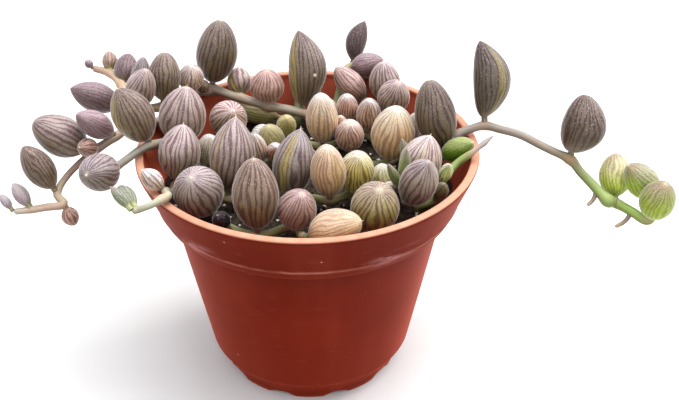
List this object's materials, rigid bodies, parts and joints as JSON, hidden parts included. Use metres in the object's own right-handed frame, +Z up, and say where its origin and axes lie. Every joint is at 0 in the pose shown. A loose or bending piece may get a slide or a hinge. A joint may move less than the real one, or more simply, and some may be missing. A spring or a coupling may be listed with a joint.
{
  "type": "potted string of watermelons",
  "caption": "Trailing succulent with plump, pointed, striped leaves, rooted in a round tapered plastic nursery pot.",
  "frame": {"origin": "centre of the bounding box, at the level of the surface that the pot stands on", "axes": "+X to the right along the longest extent, +Y away from the viewer, +Z up"},
  "size_m": [0.1722, 0.1061, 0.0892],
  "materials": {
    "terracotta_plastic": "satin terracotta-coloured plastic with a paler lip",
    "dark_soil": "crumbly dark potting soil with white perlite",
    "striped_leaf": "waxy grey-mauve to olive leaf with dark lengthwise stripes",
    "green_shoot": "young green shoot with a dry tip"
  },
  "bodies": {
    "root": {"pot": "terracotta_plastic", "soil": "dark_soil", "strand_front": "striped_leaf", "strand_front_right": "striped_leaf", "strand_middle": "striped_leaf", "strand_centre": "striped_leaf", "strand_left_centre": "striped_leaf", "strand_far_right": "striped_leaf", "strand_back_right": "striped_leaf", "rosette_right": "striped_leaf", "shoot_green": "green_shoot", "strand_right": "striped_leaf", "strand_back": "striped_leaf", "strand_behind": "striped_leaf", "strand_upper_left": "striped_leaf", "strand_left_long": "striped_leaf", "strand_left_ball": "striped_leaf", "strand_front_left": "striped_leaf"}
  },
  "joints": []
}
